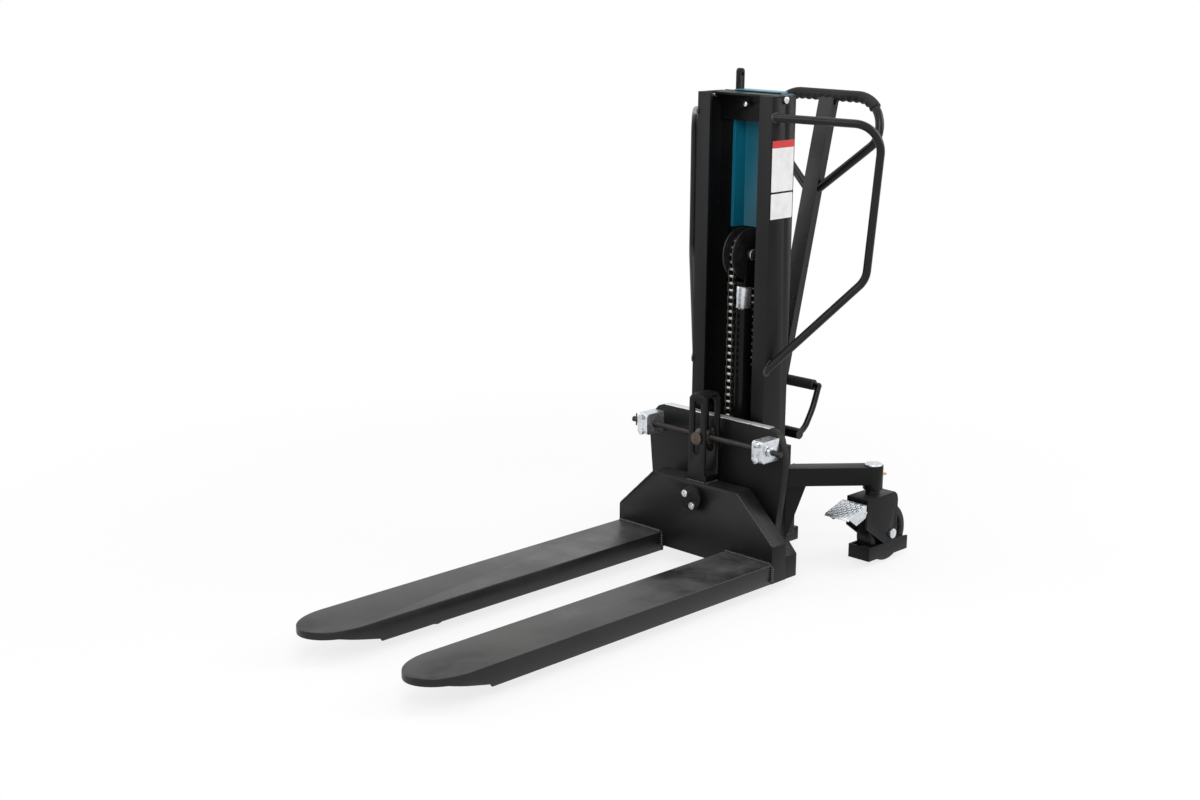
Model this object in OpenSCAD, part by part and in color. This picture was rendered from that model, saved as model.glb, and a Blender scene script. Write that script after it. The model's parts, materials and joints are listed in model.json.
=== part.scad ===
// Hand and foot pumped walkie stacker: forks that roll about a central pivot,
// a channel mast with one lift cylinder and a chain, and two swivel casters.
// Modelled with y = 0 at the front of the fork heel, x = 0 in the middle and
// z = 0 on the floor, then moved along y so that its box is centred.

/* [Forks] */
// Length of each fork from the heel plate to its tip
fork_length = 1155; // [900:1:1300]
// Width over both forks
fork_spread = 550; // [520:1:680]
// Width of one fork
fork_width = 161; // [150:1:175]
// Height of the fork tops when lowered
fork_height = 83; // [80:1:110]
// Depth of a fork from its top to the edge of its skirts
fork_depth = 54; // [45:1:56]
// Sheet thickness of the forks
fork_sheet = 6; // [4:0.5:8]
// Length over which a fork rounds off to its tip
tip_length = 120; // [60:1:160]
// Distance from the tip to the step under the fork
spike_back = 178; // [140:1:300]

/* [Fork heel] */
// Height of the middle of the heel box above the floor
heel_top = 250; // [225:1:300]
// Width of the flat top of the heel box
heel_top_width = 296; // [260:1:330]
// Height of the heel box at its outer edges
heel_shoulder = 130; // [110:1:160]
// Depth of the heel box
heel_depth = 58; // [50:1:58]
// Plate thickness of the heel box
heel_plate = 8; // [6:0.5:10]
// Height of the pivot above the floor
pivot_height = 207; // [190:1:215]
// Diameter of the pivot pin
pivot_d = 50; // [40:1:56]

/* [Roll drive] */
// Height of the lead screw above the floor
screw_height = 369; // [350:1:390]
// Diameter of the lead screw
screw_d = 16; // [12:1:20]
// Distance between the two bearing blocks, middle to middle
block_span = 408; // [360:1:420]
// Top of the slotted lever
lever_top = 489; // [450:1:520]
// Width of the slotted lever
lever_width = 57; // [50:1:64]
// Width of the slot
slot_width = 24; // [20:1:28]

/* [Carriage] */
// Top edge of the carriage plate above the floor
carriage_top = 418; // [405:1:440]
// Widest width of the carriage plate
carriage_width = 474; // [420:1:520]
// Plate thickness of the carriage
carriage_plate_t = 8; // [6:0.5:10]

/* [Mast] */
// Height of the mast above the floor
mast_height = 1271; // [1200:1:1500]
// Width over the two channels
mast_width = 253; // [230:1:270]
// Depth of a channel, front to back
mast_depth = 96; // [84:1:110]
// Width of a channel flange
flange_width = 42.5; // [36:0.5:48]
// Wall of a channel
channel_wall = 8; // [6:0.5:10]

/* [Lift] */
// Piston stroke; the forks rise twice as far
stroke = 276; // [200:1:276]
// Outer diameter of the lift cylinder
cylinder_d = 50; // [44:1:54]
// Diameter of the piston rod
rod_d = 32; // [24:1:34]
// Height of the top of the cylinder tube
cylinder_top = 699; // [650:1:720]
// Height of the chain sheave's axle when lowered
sheave_height = 847; // [830:1:860]
// Diameter over the flanges of the sheave
sheave_d = 140; // [128:1:140]

/* [Legs and casters] */
// Diameter of the load rollers
load_roller_d = 60; // [50:1:62]
// Distance of the load rollers from the heel plate
load_roller_y = 757; // [600:1:850]
// Width of a support leg
leg_width = 90; // [70:1:100]
// Diameter of the caster wheels
caster_d = 160; // [140:1:170]
// Width of the caster wheels
caster_w = 50; // [40:1:52]
// Half the distance between the two casters
caster_x = 290; // [280:1:320]
// Distance of the swivel axis behind the heel plate
caster_y = 408; // [390:1:430]
// Distance of the wheel's axle behind the swivel axis
caster_trail = 46; // [40:1:60]

/* [Handles] */
// Distance from the tiller's pivot to its grip
tiller_length = 929; // [800:1:1000]
// How far the tiller leans back at rest, in degrees
tiller_lean = 13.65; // [10:0.05:20]
// Half the width of the tiller's loop
loop_half = 186; // [160:1:200]
// Diameter of the loop tube
loop_d = 24; // [20:1:28]
// Diameter of the grip sleeves
grip_d = 33; // [30:1:38]
// Diameter of the side handles
handle_d = 22; // [18:1:28]
// How far a side handle reaches out along its own plane
handle_reach = 278; // [220:1:300]

/* [Hidden] */
$fn = 64;
mast_front = 127;
mast_back = mast_front + mast_depth;
mast_foot = 60;
back_plate_foot = 310;
cover_foot = 908;
hat_t = 3;
cover_t = 2.5;
hat_side = mast_width / 2 - 50.5;
hat_lip = 40;
hat_slope = 8;
cover_depth = 34;
run = 0.05;
gap = 0.4;
fork_x = (fork_spread - fork_width) / 2;
fork_under = fork_height - fork_sheet;
skirt_z = fork_height - fork_depth;
heel_bottom = 45;
beam_front = heel_depth + 8;
beam_back = 120;
beam_half = 262;
beam_bottom = 22;
beam_top = 112;
leg_bottom = 22;
leg_top = 60;
carriage_front = 80;
carriage_back = 106;
carriage_bottom = 125;
web_in = mast_width / 2 - channel_wall;
flange_in = mast_width / 2 - flange_width;
roller_d = mast_depth - 2 * channel_wall - 2 * gap;
roller_y = mast_front + mast_depth / 2;
roller_w = 26;
roller_x = (flange_in + web_in) / 2 - 2;
stub_d = 30;
arm_in = 66;
arm_t = 8;
low_roller_z = 190;
high_roller_z = 372;
lift_y = 184;
chain_w = 24;
chain_t = 14;
wrap_r = 47;
anchor_z = 372;
rear_anchor_z = 520;
clamp_half = 34;
sheave_half = chain_w / 2 + 5.5;
yoke_in = sheave_half + 1.5;
yoke_out = yoke_in + 6;
lever_front = 7;
lever_t = 7;
lever_back = 69;
screw_y = 40;
screw_half = 262;
block_w = 36;
block_front = 12;
block_h = 58;
block_bolt = 21;
pedal_x = 100;
tiller_y = 309.6;
tiller_z = 347;
tube_x = 50;
tube_y = 25;
pin_d = 16;
pump_front = 240;
pump_back = 362;
plunger_y = 341;
housing_d = 54;
housing_top = 276;
housing_bottom = 210;
spindle_d = 32;
yoke_top = 196;
yoke_half = 35;
yoke_t = 6;
caster_z = caster_d / 2;
axle_d = 20;
lowering_x = -110;
lowering_y = 278;
lowering_foot = 430;
// a straight stretch of a bent tube laps this far into its bends, a hair thinner
lap = 0.6;
ease = 0.1;
// the two screws on the pivot's disc
screw_ring = 21;
screw_angles = [151, -70];
// side handle: heights of its ends, and how far its corners lie within the web
handle_top = 1217;
handle_low = 559;
handle_corner = 799;
handle_bury = 14;
// path of the tiller's loop, from one end of a diagonal to the other
loop_low = tiller_length - 115;
loop_join = tiller_length - 257;
top_bend = 88;
low_bend = 50;
loop_path = [[tube_x / 2 - 3, loop_join], [loop_half, loop_low], [loop_half, tiller_length],
  [-loop_half, tiller_length], [-loop_half, loop_low], [3 - tube_x / 2, loop_join]];
loop_bend = [0, low_bend, top_bend, top_bend, low_bend, 0];
grip_start = 44;
// path of the foot pedal's rod: y and z of its corners
rod_path = [[398, 466], [376, 408], [340, 352], [tiller_y, tiller_z - 3]];
rod_t = 17;
rear_y = tiller_y + tiller_length * sin(tiller_lean) + grip_d / 2;
shift_y = (fork_length - rear_y) / 2;

// Everything is drawn through this, which centres the box along y.
module placed(c) { color(c) translate([0, shift_y, 0]) children(); }

// +1 draws a piece on the right, -1 its mirror image on the left.
module side(s) { mirror([s < 0 ? 1 : 0, 0, 0]) children(); }

// A cylinder along x, from x0 to x1, with its axis at (y, z).
module xrod(x0, x1, y, z, d) {
  translate([x0, y, z]) rotate([0, 90, 0]) cylinder(h = x1 - x0, d = d);
}

// A cylinder along y, from y0 to y1, with its axis at (x, z).
module yrod(y0, y1, x, z, d) {
  translate([x, y0, z]) rotate([-90, 0, 0]) cylinder(h = y1 - y0, d = d);
}

// A box from its lowest to its highest corner.
module box(a, b) { translate(a) cube(b - a); }

// An outline in the (x, z) plane, extruded along y from y0 to y1.
module xz_plate(y0, y1, points) {
  translate([0, y1, 0]) rotate([90, 0, 0]) linear_extrude(y1 - y0) polygon(points);
}

// An outline in the (y, z) plane, extruded along x from x0 to x1.
module yz_plate(x0, x1, points) {
  translate([x0, 0, 0]) rotate([90, 0, 90]) linear_extrude(x1 - x0) polygon(points);
}

// Heading of a path's stretch i, and its turn at corner i, in degrees.
function heading(p, i) = atan2(p[i + 1].y - p[i].y, p[i + 1].x - p[i].x);
function wrap(a) = a > 180 ? a - 360 : a < -180 ? a + 360 : a;
function turn(p, i) = wrap(heading(p, i) - heading(p, i - 1));
function cut_back(p, bend, i) =
  i == 0 || i == len(p) - 1 ? 0 : bend[i] * tan(abs(turn(p, i)) / 2);

// A round tube bent along a path in the xy plane, bend[i] being the radius at corner i.
module bent_rod(p, bend, d) {
  for (i = [0 : len(p) - 2]) {
    a = heading(p, i);
    start = cut_back(p, bend, i);
    before = start > 0 ? lap : 0;
    after = cut_back(p, bend, i + 1) > 0 ? lap : 0;
    run_length = norm(p[i + 1] - p[i]) - start - cut_back(p, bend, i + 1) + before + after;
    translate([p[i].x + (start - before) * cos(a), p[i].y + (start - before) * sin(a), 0])
      rotate([0, 90, a]) cylinder(h = run_length, d = d - ease);
  }
  for (i = [1 : len(p) - 2]) {
    a = heading(p, i - 1);
    t = turn(p, i);
    s = sign(t);
    q = p[i] - cut_back(p, bend, i) * [cos(a), sin(a)];
    centre = q + bend[i] * s * [-sin(a), cos(a)];
    first = t > 0 ? a - 90 : a + 90 + t;
    translate([centre.x, centre.y, 0]) rotate([0, 0, first])
      rotate_extrude(angle = abs(t)) translate([bend[i], 0]) circle(d = d);
  }
}

// ---- Chassis ----------------------------------------------------------------

module base_frame() {
  placed("#202224") {
    // cross beam behind the heel, with its outer top corners cut away
    xz_plate(beam_front, beam_back, [[-beam_half, beam_bottom], [beam_half, beam_bottom],
      [beam_half, beam_top - 28], [beam_half - 26, beam_top], [26 - beam_half, beam_top],
      [-beam_half, beam_top - 28]]);
    // foot of the mast and bed of the pump
    box([-mast_width / 2, beam_back, beam_bottom], [mast_width / 2, mast_back, mast_foot]);
    box([-70, mast_back, beam_bottom], [70, pump_back + 8, mast_foot]);
  }
}

module leg(s) {
  x0 = fork_x - leg_width / 2;
  x1 = fork_x + leg_width / 2;
  front = -(load_roller_y - 48);
  placed("#1c1e20") side(s) difference() {
    union() {
      box([x0, front, leg_bottom], [x1, beam_front, leg_top]);
      // two cheeks that carry the load roller
      for (x = [-38, 30])
        box([fork_x + x, -(load_roller_y + 42), 14], [fork_x + x + 8, front, 50]);
    }
    box([x0 + 5, front + 8, leg_bottom + 5], [x1 - 5, beam_front + 1, leg_top - 5]);
    xrod(x0, x1, -load_roller_y, load_roller_d / 2, pin_d + 2 * run);
  }
}

module mast_channel(s) {
  placed("#232527") side(s) difference() {
    box([flange_in, mast_front, mast_foot], [mast_width / 2, mast_back, mast_height]);
    box([flange_in - 1, mast_front + channel_wall, mast_foot - 1],
      [web_in, mast_back - channel_wall, mast_height + 1]);
    xrod(web_in - 1, mast_width / 2 + 1, mast_front + 51, mast_height - 11, 10 + 2 * run);
  }
}

module mast_top_plate() {
  y = mast_back - channel_wall;
  placed("#1d1f21") difference() {
    union() {
      box([-web_in, y - 6, mast_height - 76], [web_in, y, mast_height]);
      box([-web_in, mast_front + 34, mast_height - 6], [web_in, y - 6, mast_height]);
    }
    for (s = [-1, 1]) xrod(s * web_in - 14, s * web_in + 14, mast_front + 51, mast_height - 11, 26);
    yrod(y - 8, y + 1, -20, mast_height - 30, 10 + 2 * run);
  }
}

// A hat section behind the mast that closes its back below the cover.
module back_plate() {
  y = mast_back;
  lip = y + hat_t;
  placed("#1d1f21") {
    xz_hat(y, y + cover_depth, hat_t, back_plate_foot, cover_foot);
    // bracket of the lowering lever, on the left lip
    difference() {
      for (x = [-13, 8])
        yz_plate(lowering_x + x, lowering_x + x + 5, [[lip, lowering_foot - 30],
          [lowering_y, lowering_foot - 14], [lowering_y + 12, lowering_foot - 8],
          [lowering_y + 12, lowering_foot + 8], [lowering_y, lowering_foot + 14],
          [lip, lowering_foot + 30]]);
      xrod(lowering_x - 30, lowering_x + 30, lowering_y, lowering_foot, 10 + 2 * run);
    }
  }
}

// Sheet folded to a hat: lips on the mast at y0, slanted sides, and a face at y1.
module xz_hat(y0, y1, t, z0, z1) {
  w = hat_side;
  f = hat_side - hat_slope;
  e = hat_side + hat_lip;
  translate([0, 0, z0]) linear_extrude(z1 - z0) polygon([[-e, y0], [-e, y0 + t],
    [-w, y0 + t], [-f, y1 + t], [f, y1 + t], [w, y0 + t], [e, y0 + t], [e, y0],
    [w - 1, y0], [f - 1, y1], [1 - f, y1], [1 - w, y0]]);
}

module rear_cover() {
  t = cover_t;
  lid_z = mast_height + 2;
  w = hat_side;
  f = hat_side - hat_slope;
  front = mast_back - channel_wall;
  fold = mast_back + t;
  face = fold + cover_depth;
  placed("#0d6f86") {
    xz_hat(mast_back, mast_back + cover_depth, t, cover_foot, lid_z);
    // the lid, which closes the top of the mast
    translate([0, 0, lid_z]) linear_extrude(t) polygon([[-w, front], [w, front],
      [w, fold], [f, face], [-f, face], [-w, fold]]);
  }
}

module frame_bolts() {
  placed("#c9ccd0") {
    for (s = [-1, 1]) side(s) {
      xrod(web_in - 10, mast_width / 2, mast_front + 51, mast_height - 11, 10);
      xrod(mast_width / 2, mast_width / 2 + 6, mast_front + 51, mast_height - 11, 18);
    }
    yrod(mast_back - channel_wall - 16, mast_back - channel_wall, -20, mast_height - 30, 10);
    yrod(mast_back - channel_wall - 22, mast_back - channel_wall - 16, -20, mast_height - 30, 14);
  }
}

module axle_pins() {
  placed("#b9bcc0") {
    for (s = [-1, 1]) side(s)
      xrod(fork_x - 40, fork_x + 40, -load_roller_y, load_roller_d / 2, pin_d);
    xrod(lowering_x - 15, lowering_x + 15, lowering_y, lowering_foot, 10);
  }
}

// A bent tube in the vertical plane that stands at 45 degrees to the mast's side.
module side_handle(s) {
  root = mast_front + 15;
  out = handle_reach;
  path = [[-handle_bury, handle_top + 1], [out, handle_top - 18], [out - 29, handle_corner],
    [-handle_bury, handle_low - 13]];
  placed("#26282a") side(s) difference() {
    translate([mast_width / 2, root, 0]) rotate([90, 0, 45])
      bent_rod(path, [0, 74, 62, 0], handle_d);
    box([0, 0, 400], [mast_width / 2, mast_back, mast_height]);
  }
}

module outrigger(s) {
  half = 25;
  gusset_x = 240;
  low = housing_top - 51;
  high = housing_top - 1;
  side_x = mast_width / 2;
  along = atan2(caster_y - mast_back, caster_x - side_x);
  placed("#232527") side(s) difference() {
    union() {
      difference() {
        translate([caster_x, caster_y, 0]) rotate([0, 0, along + 180]) {
          box([0, -half, low], [300, half, high]);
          // gusset under the tube
          translate([0, 4, 0]) rotate([90, 0, 0]) linear_extrude(8)
            polygon([[183, low], [gusset_x, low], [gusset_x, mast_foot]]);
        }
        box([-caster_x, 0, 0], [side_x + 8, caster_y + 100, mast_height]);
      }
      // side plate against the channel's web
      box([side_x, mast_front + 8, 76], [side_x + 8, mast_back + 44, high]);
      translate([caster_x, caster_y, housing_bottom])
        cylinder(h = housing_top - housing_bottom, d = housing_d);
    }
    translate([caster_x, caster_y, housing_bottom - 1])
      cylinder(h = housing_top - housing_bottom + 2, d = spindle_d + 2 * run);
    translate([caster_x, caster_y, housing_top - 24]) rotate([0, 90, 45])
      cylinder(h = housing_d, d = 6);
  }
}

module swivel_caps() {
  placed("#c9ccd0") for (s = [-1, 1]) side(s) translate([caster_x, caster_y, housing_top])
    rotate_extrude() polygon([[0, 0], [24, 0], [24, 3], [21, 5], [0, 6]]);
}

module grease_nipples() {
  reach = housing_d / 2;
  placed("#b48a3c") for (s = [-1, 1]) side(s)
    translate([caster_x, caster_y, housing_top - 24]) rotate([0, 90, 45]) {
      translate([0, 0, reach - 6]) cylinder(h = 9, d = 6);
      translate([0, 0, reach + 3]) cylinder(h = 5, d = 7.5);
      translate([0, 0, reach + 8]) sphere(d = 5);
    }
}

module lift_cylinder() {
  anchor_front = lift_y + wrap_r - chain_t / 2 - 1;
  placed("#17191b") {
    translate([0, lift_y, 0]) difference() {
      translate([0, 0, mast_foot]) cylinder(h = cylinder_top - mast_foot, d = cylinder_d);
      translate([0, 0, mast_foot + 20])
        cylinder(h = cylinder_top - mast_foot - 40, d = cylinder_d - 10);
      translate([0, 0, cylinder_top - 21]) cylinder(h = 22, d = rod_d + 2 * run);
    }
    // anchor of the rear chain strand, clamped round the tube clear of the carriage's arms
    difference() {
      box([-clamp_half, lift_y + 18, rear_anchor_z - 34],
        [clamp_half, anchor_front, rear_anchor_z - 14]);
      translate([0, lift_y, rear_anchor_z - 40]) cylinder(h = 40, d = cylinder_d);
    }
    box([-9, anchor_front, rear_anchor_z - 34],
      [9, lift_y + wrap_r + chain_t / 2, rear_anchor_z]);
  }
}

module pump_body() {
  lug_in = 30;
  placed("#2a2c2e") difference() {
    union() {
      // pump block, and the clevis that holds the tiller
      box([-40, pump_front, mast_foot], [40, pump_back, 292]);
      for (s = [-1, 1]) side(s)
        yz_plate(lug_in, lug_in + 12, [[tiller_y - 30, 292], [tiller_y + 26, 292],
          [tiller_y + 15, tiller_z + 14], [tiller_y - 15, tiller_z + 14]]);
      // oil tank on the left of the pump
      box([-110, pump_front + 14, mast_foot + 30], [-40, pump_back - 20, 250]);
    }
    xrod(-60, 60, tiller_y, tiller_z, pin_d + 2 * run);
    translate([0, plunger_y, 185]) cylinder(h = 115, d = 20 + 2 * run);
  }
}

// From the foot of the cylinder round to the pump's side.
module pressure_pipe() {
  placed("#8d9094") difference() {
    translate([0, 0, mast_foot + 30]) bent_rod([[0, lift_y], [64, lift_y],
      [64, pump_front + 24], [40, pump_front + 24]], [0, 20, 16, 0], 10);
    translate([0, lift_y, mast_foot]) cylinder(h = 80, d = cylinder_d);
  }
}

// A narrow channel with a round top, pivoted at its foot.
module lowering_lever() {
  half = 7;
  deep = 10;
  top_z = 1327;
  placed("#1b1d1f") difference() {
    yz_plate(lowering_x - half, lowering_x + half, concat(
      [[lowering_y - deep, lowering_foot - 14], [lowering_y + deep, lowering_foot - 14]],
      [for (a = [0 : 15 : 180]) [lowering_y, top_z - deep] + deep * [cos(a), sin(a)]]));
    box([lowering_x - half + 3, lowering_y - deep - 1, lowering_foot + 20],
      [lowering_x + half - 3, lowering_y + deep - 3, top_z - 60]);
    xrod(lowering_x - 20, lowering_x + 20, lowering_y, top_z - deep - 6, 9);
    xrod(lowering_x - 20, lowering_x + 20, lowering_y, lowering_foot, 10 + 2 * run);
  }
}

// ---- Lift -------------------------------------------------------------------

module piston_rod() {
  placed("#d4d7da") translate([0, lift_y, 0]) {
    translate([0, 0, mast_foot + 24]) cylinder(h = 34, d = cylinder_d - 10 - 2 * run);
    translate([0, 0, mast_foot + 58]) cylinder(h = sheave_height - 86 - mast_foot - 58, d = rod_d);
  }
}

module rod_coupling() {
  h = sheave_height - 86 - cylinder_top - 2;
  placed("#c9ccd0") translate([0, lift_y, cylinder_top + 2]) difference() {
    cylinder(h = h, d = 44);
    translate([0, 0, -1]) cylinder(h = h + 2, d = rod_d);
  }
}

module sheave_yoke() {
  z = sheave_height;
  placed("#2a2c2e") difference() {
    union() {
      box([-yoke_out, lift_y - 24, z - 86], [yoke_out, lift_y + 24, z - 74]);
      for (s = [-1, 1]) side(s)
        yz_plate(yoke_in, yoke_out, [[lift_y - 24, z - 86], [lift_y + 24, z - 86],
          [lift_y + 20, z + 16], [lift_y - 20, z + 16]]);
    }
    xrod(-yoke_out - 1, yoke_out + 1, lift_y, z, 20 + 2 * run);
  }
}

module sheave_pin() {
  placed("#c9ccd0") {
    xrod(-yoke_out, yoke_out, lift_y, sheave_height, 20);
    xrod(yoke_out, yoke_out + 8, lift_y, sheave_height, 30);
    xrod(-yoke_out - 6, -yoke_out, lift_y, sheave_height, 28);
  }
}

module chain_sheave() {
  placed("#2f3133") difference() {
    translate([0, lift_y, sheave_height]) rotate([0, 90, 0]) rotate_extrude()
      polygon([[10 + run, -sheave_half], [sheave_d / 2, -sheave_half],
        [sheave_d / 2, -chain_w / 2 - 2], [wrap_r - chain_t / 2 - gap, -chain_w / 2 - gap],
        [wrap_r - chain_t / 2 - gap, chain_w / 2 + gap], [sheave_d / 2, chain_w / 2 + 2],
        [sheave_d / 2, sheave_half], [10 + run, sheave_half]]);
  }
}

// One straight chain strand, as the solid that its links fill.
module strand(y, z0, z1) {
  box([-chain_w / 2, y - chain_t / 2, z0], [chain_w / 2, y + chain_t / 2, z1]);
}

module chain_front() { placed("#3a3b3c") strand(lift_y - wrap_r, anchor_z, sheave_height); }

module chain_rear() { placed("#3a3b3c") strand(lift_y + wrap_r, rear_anchor_z, sheave_height); }

module chain_wrap() {
  placed("#3a3b3c") translate([0, lift_y, sheave_height]) rotate([90, 0, 90])
    rotate_extrude(angle = 180) translate([wrap_r - chain_t / 2, -chain_w / 2])
      square([chain_t, chain_w]);
}

// ---- Carriage ---------------------------------------------------------------

// Outline of the carriage plate, drawn in by t on its sides.
function carriage_outline(t) = let (w = carriage_width / 2 - t, top = carriage_top - t)
  [[w - 24, carriage_bottom], [w - 11, 220], [w, 320], [w - 2, 350], [w - 14, top - 25],
    [w - 30, top - 8], [w - 54, top], [54 - w, top], [30 - w, top - 8], [14 - w, top - 25],
    [2 - w, 350], [-w, 320], [11 - w, 220], [24 - w, carriage_bottom]];

module carriage() {
  t = carriage_plate_t;
  y0 = carriage_front;
  placed("#232527") difference() {
    union() {
      difference() {
        xz_plate(y0, carriage_back, carriage_outline(0));
        intersection() {
          xz_plate(y0 + t, carriage_back + 1, carriage_outline(t));
          box([-carriage_width, y0, carriage_bottom + t],
            [carriage_width, carriage_back + 1, carriage_top]);
        }
      }
      for (s = [-1, 1]) side(s) {
        // arm that reaches back between the channels, and its two roller stubs
        yz_plate(arm_in, arm_in + arm_t, [[y0 + t, 150], [roller_y + 8, 150],
          [roller_y + 22, 172], [roller_y + 22, high_roller_z + 14],
          [roller_y + 8, high_roller_z + 28], [y0 + t, high_roller_z + 28]]);
        for (z = [low_roller_z, high_roller_z]) {
          xrod(arm_in + arm_t, roller_x - roller_w / 2 - 1, roller_y, z, stub_d + 12);
          xrod(arm_in, web_in - 2, roller_y, z, stub_d);
        }
      }
      // tie between the arms' lower ends
      box([-arm_in, y0 + t, 150], [arm_in, y0 + t + 10, 166]);
      // chain anchor
      box([-14, y0 + t, anchor_z - 26], [14, lift_y - wrap_r + 8, anchor_z]);
    }
  }
}

module bearing_block(s) {
  x0 = block_span / 2 - block_w / 2;
  x1 = block_span / 2 + block_w / 2;
  z0 = screw_height - block_h / 2;
  z1 = screw_height + block_h / 2;
  placed("#c9ccd0") side(s) difference() {
    yz_plate(x0, x1, [[block_front + 6, z0], [carriage_front, z0], [carriage_front, z1],
      [block_front + 6, z1], [block_front, z1 - 6], [block_front, z0 + 6]]);
    xrod(x0 - 1, x1 + 1, screw_y, screw_height, screw_d + 2 * run);
    for (z = [-block_bolt, block_bolt])
      yrod(block_front - 1, carriage_front + 1, block_span / 2, screw_height + z, 10 + 2 * run);
  }
}

module block_screws() {
  placed("#d4d7da") for (s = [-1, 1], z = [-block_bolt, block_bolt]) side(s) {
    yrod(block_front, carriage_front, block_span / 2, screw_height + z, 10);
    yrod(block_front - 8, block_front, block_span / 2, screw_height + z, 16);
  }
}

module pivot_pin() {
  placed("#1d1f21") difference() {
    union() {
      yrod(-1, carriage_front, 0, pivot_height, pivot_d);
      yrod(-13, -1, 0, pivot_height, pivot_d + 16);
    }
    for (a = screw_angles)
      yrod(-14, 12, screw_ring * cos(a), pivot_height + screw_ring * sin(a), 8 + 2 * run);
  }
}

module pivot_screws() {
  placed("#d4d7da") for (a = screw_angles) {
    x = screw_ring * cos(a);
    z = pivot_height + screw_ring * sin(a);
    yrod(-13, 10, x, z, 8);
    difference() {
      yrod(-19, -13, x, z, 19);
      yrod(-20, -16, x, z, 9);
    }
  }
}

module mast_roller(s, z) {
  x0 = roller_x - roller_w / 2;
  placed("#3a3c3e") side(s) difference() {
    xrod(x0, x0 + roller_w, roller_y, z, roller_d);
    xrod(x0 - 1, x0 + roller_w + 1, roller_y, z, stub_d + 2 * run);
  }
}

// ---- Forks ------------------------------------------------------------------

// Outline of a fork in plan, half its width being w and its tip ending at y = -l.
function fork_plan(w, l) = concat([[fork_x - w, 0]],
  [for (a = [180 : 7.5 : 360]) [fork_x + w * cos(a), -(l - tip_length) + tip_length * sin(a)]],
  [[fork_x + w, 0]]);

module fork(s) {
  w = fork_width / 2;
  l = fork_length;
  step_y = -(l - spike_back);
  placed("#2b2d2f") side(s) {
    translate([0, 0, fork_under]) linear_extrude(fork_sheet) polygon(fork_plan(w, l));
    // skirts, shallow at the tip and full depth behind the step
    intersection() {
      translate([0, 0, skirt_z]) linear_extrude(fork_under - skirt_z) difference() {
        polygon(fork_plan(w, l));
        polygon(fork_plan(w - fork_sheet, l - fork_sheet));
        translate([fork_x - w + fork_sheet, -20]) square([2 * (w - fork_sheet), 21]);
      }
      yz_plate(0, fork_spread, [[0, skirt_z], [0, fork_under], [-l, fork_under],
        [-l, fork_under - 13], [-l + 60, fork_under - 15], [step_y - 4, skirt_z + 7],
        [step_y, skirt_z]]);
    }
  }
}

module heel_box() {
  x1 = fork_spread / 2;
  t = heel_plate;
  top_x = heel_top_width / 2;
  x0 = fork_x - fork_width / 2;
  outline = [[-x1, skirt_z], [-x1, heel_shoulder], [-top_x, heel_top], [top_x, heel_top],
    [x1, heel_shoulder], [x1, skirt_z], [x0, skirt_z], [x0, heel_bottom],
    [-x0, heel_bottom], [-x0, skirt_z]];
  hollow = [[t - x1, 0], [t - x1, heel_shoulder - 4], [4 - top_x, heel_top - t],
    [top_x - 4, heel_top - t], [x1 - t, heel_shoulder - 4], [x1 - t, 0]];
  placed("#2b2d2f") difference() {
    union() {
      difference() {
        xz_plate(0, heel_depth, outline);
        xz_plate(t, heel_depth - t, hollow);
      }
      // sleeve round the pivot
      yrod(t, heel_depth - t, 0, pivot_height, pivot_d + 16);
    }
    yrod(-1, heel_depth + 1, 0, pivot_height, pivot_d + 2 * run);
    // the legs pass under the forks and through here
    for (s = [-1, 1]) side(s)
      box([x0 + fork_sheet, -1, 0], [x1 - fork_sheet, heel_depth + 1, fork_under]);
  }
}

module slotted_lever() {
  w = lever_width / 2;
  z0 = heel_top;
  z1 = lever_top;
  slot_low = screw_height - 34;
  slot_high = lever_top - 30;
  plate = [[-w - 6, z0], [w + 6, z0], [w + 6, z0 + 14], [w, z0 + 26], [w, z1 - 12],
    [w - 10, z1], [10 - w, z1], [-w, z1 - 12], [-w, z0 + 26], [-w - 6, z0 + 14]];
  placed("#1f2123") difference() {
    union() {
      xz_plate(lever_front, lever_front + lever_t, plate);
      intersection() {
        xz_plate(lever_back - lever_t, lever_back, plate);
        box([-w, 0, z0 + 8], [w, 100, z1]);
      }
      box([10 - w, lever_front, z1 - lever_t], [w - 10, lever_back, z1]);
      // foot that ties the two plates to the heel
      box([-w, lever_front, z0], [w, heel_depth, z0 + 8]);
      box([-w, heel_depth, z0 + 8], [w, lever_back, z0 + 16]);
      box([-w, lever_front + lever_t, z0 + 8], [w, heel_depth, z0 + 16]);
    }
    translate([0, -1, 0]) {
      box([-slot_width / 2, 0, slot_low], [slot_width / 2, 100, slot_high]);
      yrod(0, 100, 0, slot_low, slot_width);
      yrod(0, 100, 0, slot_high, slot_width);
    }
  }
}

module screw_nut() {
  trunnion = slot_width - 1;
  placed("#9a6a48") difference() {
    union() {
      xrod(-22, 22, screw_y, screw_height, 38);
      yrod(lever_front - 1, lever_back + 1, 0, screw_height, trunnion);
      yrod(lever_front - 4, lever_front - gap, 0, screw_height, 35);
      yrod(lever_back + gap, lever_back + 4, 0, screw_height, 35);
    }
    xrod(-60, 60, screw_y, screw_height, screw_d + 2 * run);
  }
}

module lead_screw() {
  placed("#4a4744") {
    xrod(-screw_half, screw_half, screw_y, screw_height, screw_d);
    // collars that hold it endways, and the cross pins in its ends
    for (s = [-1, 1]) side(s) {
      translate([block_span / 2 + block_w / 2 + gap, screw_y, screw_height]) rotate([0, 90, 0])
        difference() {
          cylinder(h = 10, d = 30);
          translate([0, 0, -1]) cylinder(h = 12, d = screw_d - 2);
        }
      translate([screw_half - 10, screw_y, screw_height - 17]) cylinder(h = 34, d = 4);
    }
  }
}

// ---- Casters ----------------------------------------------------------------

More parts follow.
